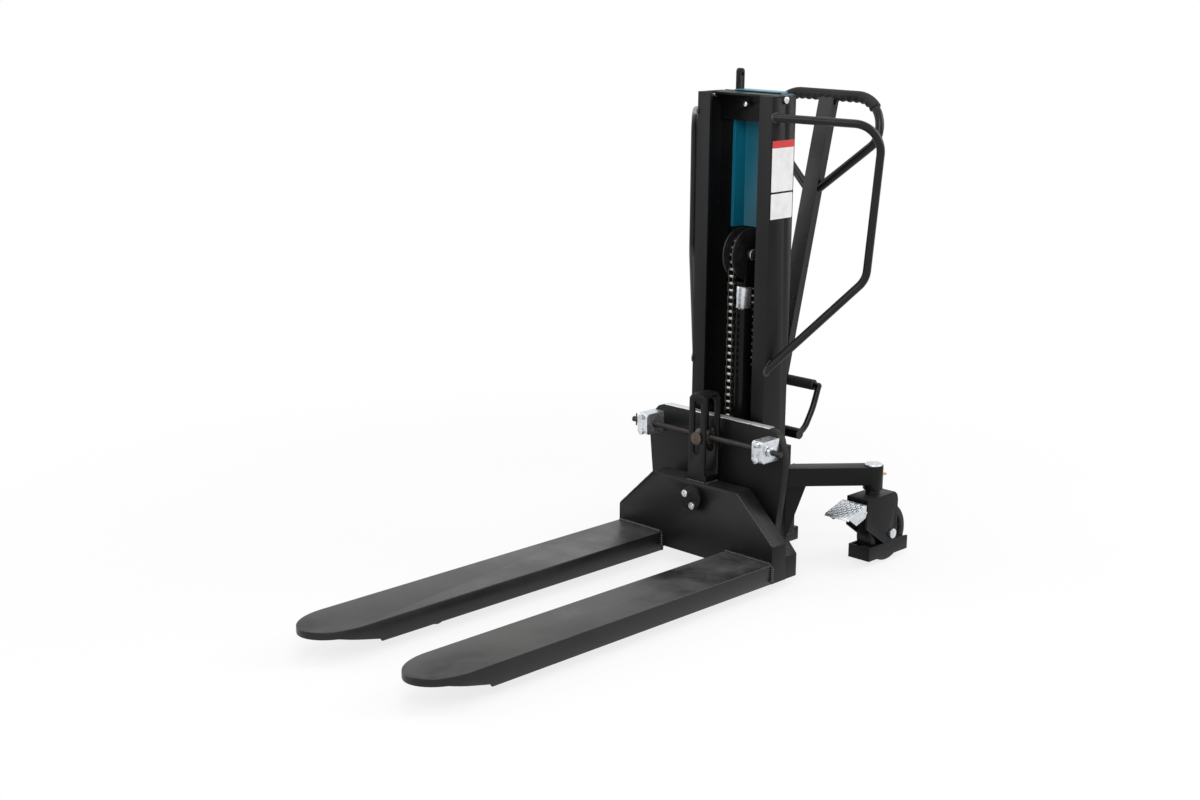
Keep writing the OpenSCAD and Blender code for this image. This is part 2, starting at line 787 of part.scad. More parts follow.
module caster_yoke(s) {
  axle_y = caster_y + caster_trail;
  cheek = [[caster_y - 67, 114], [caster_y - 67, yoke_top], [caster_y + 58, yoke_top],
    [caster_y + 68, yoke_top - 8], [caster_y + 73, yoke_top - 22], [caster_y + 73, 60],
    [caster_y + 126, 56], [caster_y + 126, 18], [caster_y - 51, 18], [caster_y - 51, 56],
    [caster_y + 16, 56]];
  placed("#232527") side(s) difference() {
    union() {
      for (x = [caster_x - yoke_half, caster_x + yoke_half - yoke_t])
        yz_plate(x, x + yoke_t, cheek);
      box([caster_x - yoke_half, caster_y - 67, yoke_top - 8],
        [caster_x + yoke_half, caster_y + 58, yoke_top]);
      // front wall of the foot guard
      box([caster_x - yoke_half, caster_y - 51, 18],
        [caster_x + yoke_half, caster_y - 45, 56]);
      // lugs of the brake pedal
      for (x = [-20, 12]) yz_plate(caster_x + x, caster_x + x + 8,
        [[caster_y - 67, 150], [caster_y - 67, yoke_top - 8], [caster_y - 45, yoke_top - 8],
          [caster_y - 45, 170]]);
      for (x = [-20, 12]) yz_plate(caster_x + x, caster_x + x + 8,
        [[caster_y - 91, 158], [caster_y - 67, 150], [caster_y - 67, 178],
          [caster_y - 91, 174]]);
      translate([caster_x, caster_y, yoke_top])
        cylinder(h = housing_top - 4 - yoke_top, d = spindle_d);
      translate([caster_x, caster_y, yoke_top])
        cylinder(h = housing_bottom - 1 - yoke_top, d = spindle_d + 8);
    }
    xrod(caster_x - 50, caster_x + 50, axle_y, caster_z, axle_d + 2 * run);
    xrod(caster_x - 50, caster_x + 50, caster_y - 82, 166, 8 + 2 * run);
  }
}

module caster_axle(s) {
  placed("#c9ccd0") side(s) {
    y = caster_y + caster_trail;
    xrod(caster_x - yoke_half, caster_x + yoke_half, y, caster_z, axle_d);
    xrod(caster_x + yoke_half, caster_x + yoke_half + 9, y, caster_z, 27);
    xrod(caster_x - yoke_half - 9, caster_x - yoke_half, y, caster_z, 27);
  }
}

module caster_wheel(s) {
  h = caster_w / 2;
  r = caster_d / 2;
  placed("#1a1b1c") side(s) translate([caster_x, caster_y + caster_trail, caster_z])
    rotate([0, 90, 0]) rotate_extrude() polygon([[axle_d / 2 + run, -h - 2], [24, -h - 2],
      [26, 10 - h], [r - 24, 10 - h], [r - 20, -h], [r - 4, -h], [r, 5 - h], [r, h - 5],
      [r - 4, h], [r - 20, h], [r - 24, h - 10], [26, h - 10], [24, h + 2],
      [axle_d / 2 + run, h + 2]]);
}

module brake_pedal(s) {
  hinge_y = caster_y - 82;
  hinge_z = 166;
  placed("#c9ccd0") side(s) {
    // tread and its two cheeks
    yz_plate(caster_x - 40, caster_x + 40, [[caster_y - 79, 183.5], [caster_y - 79, 187],
      [caster_y - 154, 164], [caster_y - 159, 158], [caster_y - 156, 157],
      [caster_y - 152, 160.5]]);
    for (x = [-40, 37]) difference() {
      yz_plate(caster_x + x, caster_x + x + 3, [[caster_y - 79, 183.5], [caster_y - 152, 160.5],
        [caster_y - 120, 138], [caster_y - 84, 150], [caster_y - 79, 156]]);
      xrod(caster_x - 50, caster_x + 50, hinge_y, hinge_z, 8 + 2 * run);
    }
    xrod(caster_x - 42, caster_x + 42, hinge_y, hinge_z, 8);
  }
}

module load_roller(s) {
  placed("#303234") side(s) difference() {
    xrod(fork_x - 25, fork_x + 25, -load_roller_y, load_roller_d / 2, load_roller_d);
    xrod(fork_x - 26, fork_x + 26, -load_roller_y, load_roller_d / 2, pin_d + 2 * run);
  }
}

// ---- Tiller and pump --------------------------------------------------------

// Puts the xy plane of its children on the tiller: x across, y along the tiller.
module on_tiller() {
  translate([0, tiller_y, tiller_z]) rotate([90 - tiller_lean, 0, 0]) children();
}

module tiller() {
  placed("#1f2123") difference() {
    union() {
      on_tiller() {
        bent_rod(loop_path, loop_bend, loop_d);
        box([-tube_x / 2, 10, -tube_y / 2], [tube_x / 2, tiller_length, tube_y / 2]);
        // gusset where the tube meets the grip
        translate([0, 0, -4]) linear_extrude(8) polygon([[-tube_x / 2 - 16, tiller_length],
          [tube_x / 2 + 16, tiller_length], [tube_x / 2, tiller_length - 30],
          [-tube_x / 2, tiller_length - 30]]);
      }
      xrod(-29, 29, tiller_y, tiller_z, 36);
      // toe that presses on the plunger
      yz_plate(-10, 10, [[tiller_y + 4, tiller_z - 14], [tiller_y + 26, tiller_z - 26],
        [tiller_y + 30, tiller_z - 26], [tiller_y + 30, tiller_z - 10],
        [tiller_y + 8, tiller_z + 14]]);
    }
    xrod(-30, 30, tiller_y, tiller_z, pin_d + 2 * run);
    on_tiller() box([3 - tube_x / 2, 30, 3 - tube_y / 2],
      [tube_x / 2 - 3, tiller_length - 40, tube_y / 2 - 3]);
    // vent in the back of the tube
    on_tiller() translate([0, 60, -tube_y]) cylinder(h = tube_y, d = 8);
  }
}

module grip_sleeves() {
  h = loop_half - top_bend - grip_start;
  placed("#161718") on_tiller() for (s = [-1, 1]) side(s)
    translate([grip_start, tiller_length, 0]) rotate([0, 90, 0]) difference() {
      union() {
        cylinder(h = h, d = grip_d - 2);
        for (i = [0 : 3]) translate([0, 0, 2 + i * 12.5]) cylinder(h = 8, d = grip_d);
      }
      translate([0, 0, -1]) cylinder(h = h + 2, d = loop_d);
    }
}

module foot_pedal() {
  placed("#26282a") {
    translate([pedal_x, 0, 0]) rotate([90, 0, 90]) bent_rod(rod_path, [0, 200, 60, 0], rod_t);
    xrod(-18, pedal_x, rod_path[0].x, rod_path[0].y, rod_t);
    translate([pedal_x, rod_path[0].x, rod_path[0].y]) sphere(d = rod_t + 1);
    // boss on the tiller's axis, its shaft through the clevis, and the shaft's head
    xrod(46, pedal_x + 10, tiller_y, tiller_z, 30);
    xrod(-46, 46, tiller_y, tiller_z, pin_d);
    xrod(-50, -46, tiller_y, tiller_z, 26);
  }
}

module pedal_sleeve() {
  placed("#1a1b1c") difference() {
    union() {
      xrod(-20, 86, rod_path[0].x, rod_path[0].y, 27);
      for (i = [0 : 20]) xrod(-18 + 5 * i, -15.5 + 5 * i, rod_path[0].x, rod_path[0].y, 30);
    }
    xrod(-18, 90, rod_path[0].x, rod_path[0].y, rod_t + 2 * run);
  }
}

module pump_plunger() {
  placed("#d4d7da") translate([0, plunger_y, 0]) {
    translate([0, 0, 210]) cylinder(h = 104, d = 20);
    translate([0, 0, 314]) cylinder(h = 6, d = 34);
  }
}

module plunger_spring() {
  placed("#8d9094") translate([0, plunger_y, 292.3]) difference() {
    cylinder(h = 21.4, d = 32);
    translate([0, 0, -1]) cylinder(h = 24, d = 24);
  }
}

base_frame();
leg(-1);  // leg_left
leg(1);  // leg_right
mast_channel(-1);  // mast_left
mast_channel(1);  // mast_right
mast_top_plate();
back_plate();
rear_cover();
frame_bolts();
axle_pins();
side_handle(-1);  // side_handle_left
side_handle(1);  // side_handle_right
outrigger(-1);  // outrigger_left
outrigger(1);  // outrigger_right
swivel_caps();
grease_nipples();
lift_cylinder();
pump_body();
pressure_pipe();
lowering_lever();
piston_rod();
rod_coupling();
sheave_yoke();
sheave_pin();
chain_front();
chain_rear();
chain_wrap();
chain_sheave();
carriage();
bearing_block(-1);  // bearing_block_left
bearing_block(1);  // bearing_block_right
block_screws();
pivot_pin();
pivot_screws();
mast_roller(-1, low_roller_z);  // mast_roller_low_left
mast_roller(1, low_roller_z);  // mast_roller_low_right
mast_roller(-1, high_roller_z);  // mast_roller_high_left
mast_roller(1, high_roller_z);  // mast_roller_high_right
fork(-1);  // fork_left
fork(1);  // fork_right
heel_box();
slotted_lever();
screw_nut();
lead_screw();
caster_yoke(-1);  // caster_yoke_left
caster_yoke(1);  // caster_yoke_right
caster_axle(-1);  // caster_axle_left
caster_axle(1);  // caster_axle_right
caster_wheel(-1);  // caster_wheel_left
caster_wheel(1);  // caster_wheel_right
brake_pedal(-1);  // brake_pedal_left
brake_pedal(1);  // brake_pedal_right
load_roller(-1);  // load_roller_left
load_roller(1);  // load_roller_right
tiller();
grip_sleeves();
foot_pedal();
pedal_sleeve();
pump_plunger();
plunger_spring();
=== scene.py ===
# %% [markdown]
# # A walkie stacker, from bare frame to finished picture
# The frame is the engineer's model: every plate, tube and pin is already in its
# place, in metres, with Z up. This lesson adds what a workshop adds after the
# cutting and bending: rounded edges, weld beads, chain links, threads, rubber
# grips and paint. Nothing here moves or reshapes the frame itself.

# %% Load the frame
import json
import math
import bmesh
import bpy
import numpy as np
from mathutils import Matrix, Vector

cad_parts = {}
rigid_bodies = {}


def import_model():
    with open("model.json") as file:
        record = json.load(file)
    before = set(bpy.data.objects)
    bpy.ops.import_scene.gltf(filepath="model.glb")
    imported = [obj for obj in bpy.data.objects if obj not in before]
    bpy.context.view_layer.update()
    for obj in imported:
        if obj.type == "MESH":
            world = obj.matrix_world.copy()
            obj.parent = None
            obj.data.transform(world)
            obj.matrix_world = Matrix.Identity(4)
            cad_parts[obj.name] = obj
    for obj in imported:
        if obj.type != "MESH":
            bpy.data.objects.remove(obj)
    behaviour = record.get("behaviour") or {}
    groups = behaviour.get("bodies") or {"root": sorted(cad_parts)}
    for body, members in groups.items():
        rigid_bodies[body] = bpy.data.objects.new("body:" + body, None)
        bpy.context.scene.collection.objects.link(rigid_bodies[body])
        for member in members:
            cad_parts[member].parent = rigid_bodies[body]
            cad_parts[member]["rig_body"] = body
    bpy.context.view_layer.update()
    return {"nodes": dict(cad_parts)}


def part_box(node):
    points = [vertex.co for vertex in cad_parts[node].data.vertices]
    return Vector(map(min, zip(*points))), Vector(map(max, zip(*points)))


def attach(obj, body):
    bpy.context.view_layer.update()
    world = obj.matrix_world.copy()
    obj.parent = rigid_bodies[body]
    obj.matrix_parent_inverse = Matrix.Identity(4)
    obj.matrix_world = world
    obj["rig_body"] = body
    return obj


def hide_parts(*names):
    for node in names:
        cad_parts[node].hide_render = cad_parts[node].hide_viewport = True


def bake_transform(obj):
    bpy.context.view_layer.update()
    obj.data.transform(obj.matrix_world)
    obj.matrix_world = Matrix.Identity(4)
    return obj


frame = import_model()
NODES = frame["nodes"]

# %% [markdown]
# ## The camera
# A product is usually taken from the height of a standing person's chest, with a
# long lens so that its uprights stay upright. The camera's three axes are worked
# out from its bearing, its elevation and a slight roll, and become the columns
# of its matrix.

# %% Camera
CAMERA_AT = Vector((3.09455, -3.21342, 1.62044))
BEARING, ELEVATION, ROLL = (math.radians(a) for a in (44.438, 13.780, 0.5045))
LENS_MM, SENSOR_MM = 54.55, 36

back = Vector((math.sin(BEARING) * math.cos(ELEVATION),
               -math.cos(BEARING) * math.cos(ELEVATION), math.sin(ELEVATION)))
right = Vector((math.cos(BEARING), math.sin(BEARING), 0))
up = back.cross(right)
rolled_right = math.cos(ROLL) * right + math.sin(ROLL) * up
rolled_up = math.cos(ROLL) * up - math.sin(ROLL) * right
pose = Matrix((rolled_right, rolled_up, back)).transposed().to_4x4()
pose.translation = CAMERA_AT

lens = bpy.data.cameras.new("camera")
lens.lens = LENS_MM
lens.sensor_width = SENSOR_MM
camera = bpy.data.objects.new("camera", lens)
camera.matrix_world = pose
bpy.context.scene.collection.objects.link(camera)
bpy.context.scene.camera = camera
print("camera at", list(CAMERA_AT))

# %% [markdown]
# ## Light and floor
# Black paint shows its shape only through what it reflects, so the lamps are
# wide and soft: a key from the front, a fill on the dark side and a strip behind
# that draws the uprights' edges. World and floor look white to the camera and to
# reflections, while the floor still takes a faint shadow.

# %% World and lamps
scene = bpy.context.scene
scene.view_settings.view_transform = "Standard"


def aim(obj, place, target):
    """Stands obj at place with its -Z axis towards target."""
    obj.location = place
    obj.rotation_euler = (Vector(target) - Vector(place)).to_track_quat("-Z", "Y").to_euler()


for name, place, size, power in (("key", (2.6, -2.6, 3.4), 2.2, 85),
                                 ("fill", (-3.2, -2.4, 2.4), 2.8, 45),
                                 ("strip", (2.4, 3.0, 2.6), 2.2, 60),
                                 ("top", (0.0, 0.0, 4.2), 2.4, 40)):
    lamp = bpy.data.lights.new(name, "AREA")
    lamp.size = size
    lamp.energy = power
    holder = bpy.data.objects.new(name, lamp)
    scene.collection.objects.link(holder)
    aim(holder, place, (0, 0, 0.5))
    print("lamp", name, power, "W")

# %% [markdown]
# ## Shader maths as sums
# A material is a graph of small nodes. Wiring them by hand hides the idea, so one
# class wraps a socket and lets it take part in ordinary sums: writing
# `1 - mask * 0.4` adds the Math nodes that compute it. Every other node comes
# from one method that takes a type, its settings and its inputs.

# %% Socket arithmetic
class Link:
    """An output socket that can be added, subtracted, multiplied and mixed."""

    def __init__(self, tree, socket=None):
        self.tree = tree
        self.socket = socket

    def node(self, kind, settings=(), inputs=(), out=0):
        """A new node of this kind: settings first, then values or links."""
        made = self.tree.nodes.new(kind)
        for key, value in dict(settings).items():
            setattr(made, key, value)
        for key, value in dict(inputs).items():
            if isinstance(value, Link):
                self.tree.links.new(value.socket, made.inputs[key])
            else:
                made.inputs[key].default_value = value
        return Link(self.tree, made.outputs[out])

    def maths(self, operation, a, b):
        return self.node("ShaderNodeMath", {"operation": operation}, {0: a, 1: b})

    def __add__(self, other):
        return self.maths("ADD", self, other)

    __radd__ = __add__

    def __sub__(self, other):
        return self.maths("SUBTRACT", self, other)

    def __rsub__(self, other):
        return self.maths("SUBTRACT", other, self)

    def __mul__(self, other):
        return self.maths("MULTIPLY", self, other)

    __rmul__ = __mul__

    def between(self, low, high, to_low=0.0, to_high=1.0):
        """Rises smoothly from to_low to to_high as the value goes low to high."""
        return self.node("ShaderNodeMapRange", {"interpolation_type": "SMOOTHSTEP"},
                         {"Value": self, "From Min": low, "From Max": high,
                          "To Min": to_low, "To Max": to_high})

    def noise(self, scale, detail=2.0, rough=0.5, stretch=(1, 1, 1)):
        """Cloudy noise of this many features a metre, drawn out along the axes."""
        place = self.node("ShaderNodeMapping", {}, {"Vector": self, "Scale": stretch})
        return self.node("ShaderNodeTexNoise", {}, {
            "Vector": place, "Scale": scale, "Detail": detail, "Roughness": rough})

    def blend(self, a, b):
        """Colour a where this mask is 0 and colour b where it is 1."""
        return self.node("ShaderNodeMix", {"data_type": "RGBA"}, {0: self, 6: a, 7: b}, 2)

    def bump(self, strength, distance):
        """A normal tilted by this height, which is in metres after distance."""
        return self.node("ShaderNodeBump", {}, {
            "Strength": strength, "Distance": distance, "Height": self})


def rgb(r, g, b):
    """A linear colour with its alpha."""
    return (r, g, b, 1.0)


# %% One finish from one recipe
FINISH = {}


def finish(name, recipe, **fixed):
    """A material whose varying inputs come from recipe(coordinates)."""
    material = bpy.data.materials.new(name)
    material.use_nodes = True
    tree = material.node_tree
    surface = tree.nodes["Principled BSDF"]
    place = Link(tree).node("ShaderNodeTexCoord", out=3)
    for key, value in fixed.items():
        surface.inputs[key.replace("_", " ")].default_value = value
    for key, value in recipe(place).items():
        tree.links.new(value.socket, surface.inputs[key])
    FINISH[name] = material
    print("finish", name, len(tree.nodes), "nodes")


# %% [markdown]
# ## Powder coat
# The steelwork is dusted with black polyester powder and baked. Up close the
# skin is not flat: it has an orange-peel ripple a millimetre or two across, it is
# a little shinier where it flowed and duller where hands and pallets rubbed it,
# and level faces hold a grey film of dust.

# %% Powder-coated steel
def powder(colour, dull=0.42, peel=0.35, scuffs=1.0, dust=0.10, bare_above=None):
    """Recipe for coated sheet: ripple, cloudy sheen, rubbed streaks and dust.

    Above bare_above the coat is rubbed through and bare steel shows.
    """
    def recipe(place):
        cloud = place.noise(5.0, 5.0, 0.6)
        grain = place.noise(620.0, 2.0, 0.5)
        pores = place.noise(1900.0, 1.0, 0.4)
        along = place.noise(9.0, 6.0, 0.75, (14, 1, 5)).between(0.60, 0.74)
        patch = place.noise(3.1, 3.0, 0.5).between(0.50, 0.66)
        fine = place.noise(60.0, 4.0, 0.7).between(0.42, 0.70)
        rubbed = along * patch * fine * scuffs
        level = place.node("ShaderNodeSeparateXYZ", {},
                           {0: place.node("ShaderNodeNewGeometry", out=1)}, 2)
        film = level.between(0.55, 0.98) * cloud.between(0.30, 0.75) * dust
        shade = cloud.between(0.3, 0.7).blend(rgb(*(0.75 * c for c in colour)),
                                              rgb(*(1.3 * c for c in colour)))
        worn = (rubbed * 0.55).blend(shade, rgb(0.085, 0.086, 0.09))
        dusty = film.blend(worn, rgb(0.16, 0.155, 0.15))
        rough = (cloud.between(0.25, 0.75, dull - 0.07, dull + 0.08)
                 + rubbed * 0.18 + film * 0.5)
        made = {"Base Color": dusty, "Roughness": rough,
                "Normal": (grain + pores * 0.35).bump(peel, 0.0004)}
        if bare_above is not None:
            height = place.node("ShaderNodeSeparateXYZ", {}, {0: place}, 2)
            frayed = height + (place.noise(45.0, 4.0, 0.7) - 0.5) * 0.003
            bare = frayed.between(bare_above - 0.0003, bare_above + 0.0003)
            made["Base Color"] = bare.blend(dusty, rgb(0.74, 0.74, 0.75))
            made["Roughness"] = rough - bare * 0.12
            made["Metallic"] = bare * 0.7
        return made
    return recipe


SHEEN = {"Specular_IOR_Level": 0.16}
COAL = (0.0052, 0.0054, 0.0058)
carriage_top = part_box("carriage")[1].z

finish("coat_frame", powder(COAL, 0.40, 0.35), **SHEEN)
finish("coat_fork", powder((0.0085, 0.0086, 0.009), 0.33, 0.28, 1.6, 0.46),
       Specular_IOR_Level=0.30)
finish("coat_carriage", powder(COAL, 0.42, 0.40, 1.2, bare_above=carriage_top - 0.001), **SHEEN)
finish("coat_tube", powder((0.0045, 0.0046, 0.0049), 0.28, 0.25, 0.6), Specular_IOR_Level=0.26)
finish("coat_cylinder", powder((0.0045, 0.0045, 0.005), 0.26, 0.12, 0.5, 0.04), **SHEEN)
finish("pump_iron", powder((0.012, 0.012, 0.013), 0.52, 0.8, 0.8, 0.2), **SHEEN)

# %% [markdown]
# ## Teal enamel
# The rear cover is sprayed in a deep teal over the same kind of powder. It is
# glossier than the black, and its colour drifts slightly where the coat is
# thinner.

# %% Teal cover
def enamel(place):
    """Cloudy teal with a fine peel and faint rub marks."""
    cloud = place.noise(4.0, 4.0, 0.55)
    rub = place.noise(14.0, 5.0, 0.7, (1, 1, 9)).between(0.62, 0.76)
    deep = cloud.between(0.3, 0.7).blend(rgb(0.0030, 0.130, 0.200), rgb(0.0045, 0.175, 0.262))
    return {"Base Color": (rub * 0.25).blend(deep, rgb(0.05, 0.24, 0.31)),
            "Roughness": cloud.between(0.3, 0.7, 0.30, 0.40) + rub * 0.15,
            "Normal": place.noise(700.0, 2.0).bump(0.22, 0.0004)}


finish("teal_enamel", enamel)

# %% [markdown]
# ## Bare and plated metal
# Zinc plate is bright but never a mirror: the bath leaves a faint mottling, and
# turning or casting leaves lines or grains under it. One recipe serves every
# metal, with its colour, how dull it is, the direction of the tool marks and how
# much dark oil sits on it.

# %% Metal recipe
def metal(colour, dull, marks=(1, 1, 1), cast=0.0, oil=0.0, grime=(0.03, 0.028, 0.025)):
    """Recipe for metal: mottling, tool marks, cast grain and oily stains."""
    def recipe(place):
        mottle = place.noise(85.0, 4.0, 0.6)
        lines = place.noise(260.0, 2.0, 0.5, marks)
        grains = place.noise(520.0, 3.0, 0.6)
        stain = place.noise(38.0, 5.0, 0.65).between(0.46, 0.66) * oil
        tone = mottle.between(0.3, 0.7).blend(rgb(*(0.82 * c for c in colour)), rgb(*colour))
        return {"Base Color": stain.blend(tone, rgb(*grime)),
                "Roughness": mottle.between(0.3, 0.7, dull - 0.06, dull + 0.07)
                + lines.between(0.35, 0.65, -0.04, 0.04) + stain * 0.25,
                "Normal": (lines * 0.4 + grains * cast).bump(0.35, 0.0003)}
    return recipe


finish("zinc_plate", metal((0.70, 0.73, 0.76), 0.33, cast=0.35, oil=0.04), Metallic=0.85)
finish("zinc_turned", metal((0.68, 0.70, 0.73), 0.24, (4, 1, 1), 0.2, 0.1), Metallic=0.95)
finish("brass_turned", metal((0.62, 0.42, 0.14), 0.28, (1, 1, 5), 0.2, 0.25), Metallic=1.0)
finish("bronze_turned", metal((0.105, 0.080, 0.064), 0.36, (1, 5, 1), 0.3, 0.45), Metallic=0.8)
finish("hard_chrome", metal((0.72, 0.73, 0.75), 0.13, (1, 1, 8), 0.0, 0.05), Metallic=1.0)
finish("chain_plate", metal((0.050, 0.048, 0.046), 0.34, cast=0.4, oil=0.6), Metallic=0.85)
finish("chain_pin", metal((0.34, 0.33, 0.31), 0.30, cast=0.2, oil=0.5), Metallic=1.0)
finish("sheave_iron", metal((0.022, 0.022, 0.023), 0.36, (6, 1, 1), 0.6, 0.5), Metallic=0.5)
finish("screw_oiled", metal((0.036, 0.033, 0.031), 0.36, (7, 1, 1), 0.2, 0.6), Metallic=0.75)
finish("weld_bead", metal((0.016, 0.016, 0.017), 0.24, cast=0.8, oil=0.1), Metallic=0.15)

# %% [markdown]
# ## Rubber and wheel
# Moulded rubber is nearly matt and slightly grey where it is handled. The wheel
# is a harder black nylon: smoother, with the scuffs and floor dust that collect
# on its tread.

# %% Rubber recipes
def moulded(colour, dull, grain, dust):
    """Recipe for moulded black: fine grain, rubbed patches, settled dust."""
    def recipe(place):
        cloud = place.noise(24.0, 5.0, 0.6)
        fine = place.noise(grain, 3.0, 0.6)
        dusty = place.noise(9.0, 4.0, 0.6).between(0.42, 0.72) * dust
        tone = cloud.between(0.3, 0.7).blend(rgb(*(0.8 * c for c in colour)),
                                             rgb(*(1.4 * c for c in colour)))
        return {"Base Color": dusty.blend(tone, rgb(0.17, 0.16, 0.15)),
                "Roughness": cloud.between(0.3, 0.7, dull - 0.06, dull + 0.06) + dusty * 0.3,
                "Normal": fine.bump(0.4, 0.0003)}
    return recipe


finish("grip_rubber", moulded((0.009, 0.009, 0.009), 0.52, 900.0, 0.08), **SHEEN)
finish("wheel_nylon", moulded((0.006, 0.006, 0.0065), 0.34, 420.0, 0.12), **SHEEN)


def paper(place):
    """Blank laminated film with a faint curl of dirt."""
    cloud = place.noise(30.0, 4.0, 0.6)
    return {"Base Color": cloud.between(0.35, 0.75).blend(rgb(0.80, 0.80, 0.80),
                                                          rgb(0.70, 0.70, 0.69)),
            "Roughness": cloud.between(0.3, 0.7, 0.28, 0.40)}


def red_film(place):
    """The same film printed in one plain red."""
    cloud = place.noise(40.0, 4.0, 0.6)
    return {"Base Color": cloud.between(0.3, 0.7).blend(rgb(0.62, 0.02, 0.025),
                                                        rgb(0.52, 0.02, 0.025)),
            "Roughness": cloud.between(0.3, 0.7, 0.28, 0.40)}


finish("label_film", paper)
finish("label_red", red_film)

# %% [markdown]
# ## Painting the frame
# One table says which finish each part of the frame wears, so that nothing is
# left in plain grey.

# %% Finish of every frame node
WEARS = {
    "coat_frame": ["base_frame", "leg_left", "leg_right", "mast_left", "mast_right",
                   "mast_top_plate", "back_plate", "outrigger_left", "outrigger_right",
                   "lowering_lever", "caster_yoke_left", "caster_yoke_right",
                   "sheave_yoke", "heel_box", "slotted_lever", "pivot_pin"],
    "coat_fork": ["fork_left", "fork_right"],
    "coat_carriage": ["carriage"],
    "coat_tube": ["side_handle_left", "side_handle_right", "tiller", "foot_pedal"],
    "coat_cylinder": ["lift_cylinder"],
    "teal_enamel": ["rear_cover"],
    "pump_iron": ["pump_body"],
    "zinc_plate": ["bearing_block_left", "bearing_block_right", "brake_pedal_left",
                   "brake_pedal_right", "swivel_caps", "rod_coupling"],
    "zinc_turned": ["frame_bolts", "axle_pins", "block_screws", "pivot_screws",
                    "caster_axle_left", "caster_axle_right", "sheave_pin",
                    "pressure_pipe", "plunger_spring"],
    "brass_turned": ["grease_nipples"],
    "bronze_turned": ["screw_nut"],
    "hard_chrome": ["piston_rod", "pump_plunger"],
    "chain_plate": ["chain_front", "chain_rear", "chain_wrap"],
    "sheave_iron": ["chain_sheave", "mast_roller_low_left", "mast_roller_low_right",
                    "mast_roller_high_left", "mast_roller_high_right"],
    "screw_oiled": ["lead_screw"],
    "wheel_nylon": ["caster_wheel_left", "caster_wheel_right", "load_roller_left",
                    "load_roller_right"],
    "grip_rubber": ["grip_sleeves", "pedal_sleeve"],
}
FINISH_OF = {node: name for name, nodes in WEARS.items() for node in nodes}
for node, obj in NODES.items():
    obj.data.materials.clear()
    obj.data.materials.append(FINISH[FINISH_OF[node]])
print("painted", len(NODES), "nodes")

# %% [markdown]
# ## Rounding the cut edges
# Sheet steel never keeps a knife edge: the press rolls it and the powder fills
# it. A merged copy of each part gets a Bevel modifier on its sharp edges only,
# and stands for the frame's part. The highlight that runs along each edge is what
# makes dark metal readable.

# %% Rounded copies
def rounded(node, width, steps=2, sharp=34):
    """A merged copy of a node whose sharp edges are bevelled by width metres."""
    mesh = NODES[node].data.copy()
    shape = bmesh.new()
    shape.from_mesh(mesh)
    bmesh.ops.remove_doubles(shape, verts=shape.verts, dist=1e-5)
    bmesh.ops.dissolve_limit(shape, angle_limit=math.radians(0.8),
                             verts=shape.verts, edges=shape.edges)
    shape.to_mesh(mesh)
    shape.free()
    mesh.polygons.foreach_set("use_smooth", [True] * len(mesh.polygons))
    obj = bpy.data.objects.new(node + "_finished", mesh)
    scene.collection.objects.link(obj)
    bevel = obj.modifiers.new("edges", "BEVEL")
    bevel.width = width
    bevel.segments = steps
    bevel.limit_method = "ANGLE"
    bevel.angle_limit = math.radians(sharp)
    bevel.use_clamp_overlap = True
    bevel.harden_normals = True
    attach(obj, NODES[node]["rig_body"])
    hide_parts(node)
    return obj


ROUND = {
    "fork_left": 0.0022, "fork_right": 0.0022, "heel_box": 0.0018, "slotted_lever": 0.0015,
    "carriage": 0.0012, "mast_left": 0.0018, "mast_right": 0.0018,
    "mast_top_plate": 0.001, "back_plate": 0.0008, "rear_cover": 0.0009,
    "base_frame": 0.002, "leg_left": 0.0015, "leg_right": 0.0015,
    "outrigger_left": 0.002, "outrigger_right": 0.002, "bearing_block_left": 0.0014,
    "bearing_block_right": 0.0014, "caster_yoke_left": 0.0012, "caster_yoke_right": 0.0012,
    "brake_pedal_left": 0.0005, "brake_pedal_right": 0.0005, "lowering_lever": 0.0008,
    "pump_body": 0.002, "sheave_yoke": 0.001, "caster_wheel_left": 0.0015,
    "caster_wheel_right": 0.0015, "swivel_caps": 0.0006, "rod_coupling": 0.001,
    "pivot_pin": 0.001, "frame_bolts": 0.0008, "block_screws": 0.0007,
    "sheave_pin": 0.0008, "chain_sheave": 0.0008,
    "caster_axle_left": 0.0008, "caster_axle_right": 0.0008, "screw_nut": 0.0006,
}
for node, width in ROUND.items():
    rounded(node, width)
print("rounded", len(ROUND), "nodes")

# %% [markdown]
# ## Surfaces from grids
# Every added piece below is a surface worked out as arrays. A ring of points is
# carried along a path, and the grid of points is joined into quads. Working on
# whole arrays keeps the recipe short and lets the formula stay visible.

# %% Grid helpers
def quads(rows, cols):
    """Quads of a grid whose columns close on themselves."""
    i, j = np.meshgrid(np.arange(rows - 1), np.arange(cols), indexing="ij")
    near = i * cols + j
    beside = i * cols + (j + 1) % cols
    return np.stack([near, beside, beside + cols, near + cols], -1).reshape(-1, 4)


def frames(path, hint):
    """Unit side and lift of a path; hint is roughly the lift."""
    tangent = np.gradient(path, axis=0)
    tangent /= np.linalg.norm(tangent, axis=1, keepdims=True)
    side = np.cross(tangent, hint)
    side /= np.linalg.norm(side, axis=1, keepdims=True)
    return side, np.cross(side, tangent)


def tube(path, radius, sides=16, hint=(0, 0, 1)):
    """Ring of radius(along, around) carried along a path, with closed ends.

    point = path + radius * (cos(angle) * side + sin(angle) * lift)
    """
    path = np.asarray(path, float)
    side, lift = frames(path, np.asarray(hint, float))
    angle = np.linspace(0, 2 * np.pi, sides, endpoint=False)
    size = np.broadcast_to(radius, (len(path), sides))[..., None]
    ring = (np.cos(angle)[None, :, None] * side[:, None]
            + np.sin(angle)[None, :, None] * lift[:, None])
    points = (path[:, None] + size * ring).reshape(-1, 3)
    faces = quads(len(path), sides).tolist()
    faces.append(list(range(sides))[::-1])
    faces.append(list(range(len(points) - sides, len(points))))
    return points, faces


